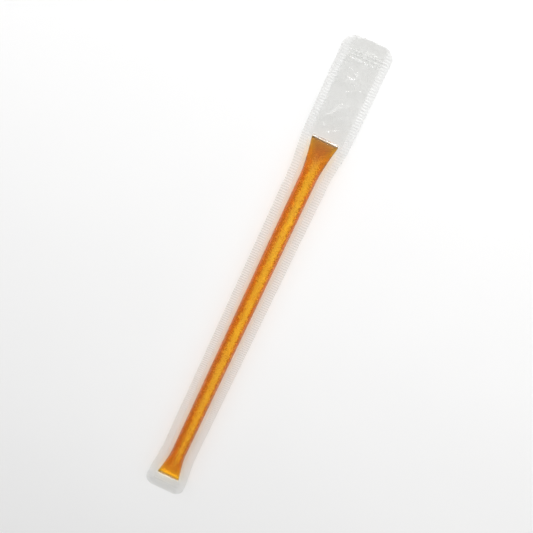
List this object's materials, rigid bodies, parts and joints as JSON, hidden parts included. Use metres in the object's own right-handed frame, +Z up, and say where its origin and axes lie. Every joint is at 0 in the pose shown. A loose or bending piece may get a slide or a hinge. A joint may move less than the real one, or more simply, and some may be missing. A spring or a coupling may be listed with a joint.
{
  "type": "honey stick",
  "caption": "Clear straw of golden honey, pressed flat and welded shut at both ends, lying in its own clear film sleeve with ribbed edge seams.",
  "frame": {"origin": "middle of the sleeve's length and width, on the table it lies on", "axes": "+X along the straw towards the long free end of the sleeve, +Z up"},
  "size_m": [0.224, 0.019, 0.0077],
  "materials": {
    "honey": "clear golden honey, glossy through the straw",
    "straw": "clear polypropylene straw",
    "film": "clear glossy wrapping film, a little creased"
  },
  "bodies": {
    "root": {"honey": "honey", "straw": "straw", "sleeve": "film"}
  },
  "joints": []
}
